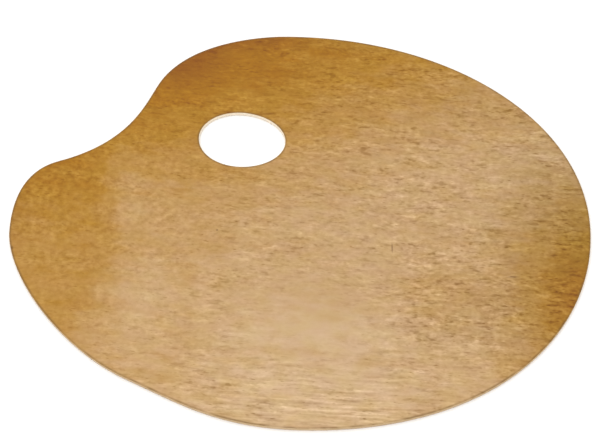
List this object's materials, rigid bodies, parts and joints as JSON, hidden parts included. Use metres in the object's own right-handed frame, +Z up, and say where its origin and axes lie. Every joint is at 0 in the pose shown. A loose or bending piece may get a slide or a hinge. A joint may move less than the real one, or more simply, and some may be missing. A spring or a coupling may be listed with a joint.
{
  "type": "mixing palette",
  "caption": "Thin kidney-shaped wooden artist's palette with an oval thumb hole beside a shallow finger notch.",
  "frame": {"origin": "middle of the bounding box, on the underside", "axes": "+X along the length, towards the round end; +Y across, towards the side with the thumb hole; +Z up, out of the mixing face"},
  "size_m": [0.4, 0.3, 0.004],
  "materials": {
    "face_veneer": "satin varnish over amber straight-grained veneer",
    "core_veneer": "sanded, grain running across the board",
    "back_veneer": "thin satin varnish",
    "glue_line": "cured glue, sanded flush at the rim"
  },
  "bodies": {
    "root": {"face_veneer": "face_veneer", "upper_glue_line": "glue_line", "core_veneer": "core_veneer", "lower_glue_line": "glue_line", "back_veneer": "back_veneer"}
  },
  "joints": []
}
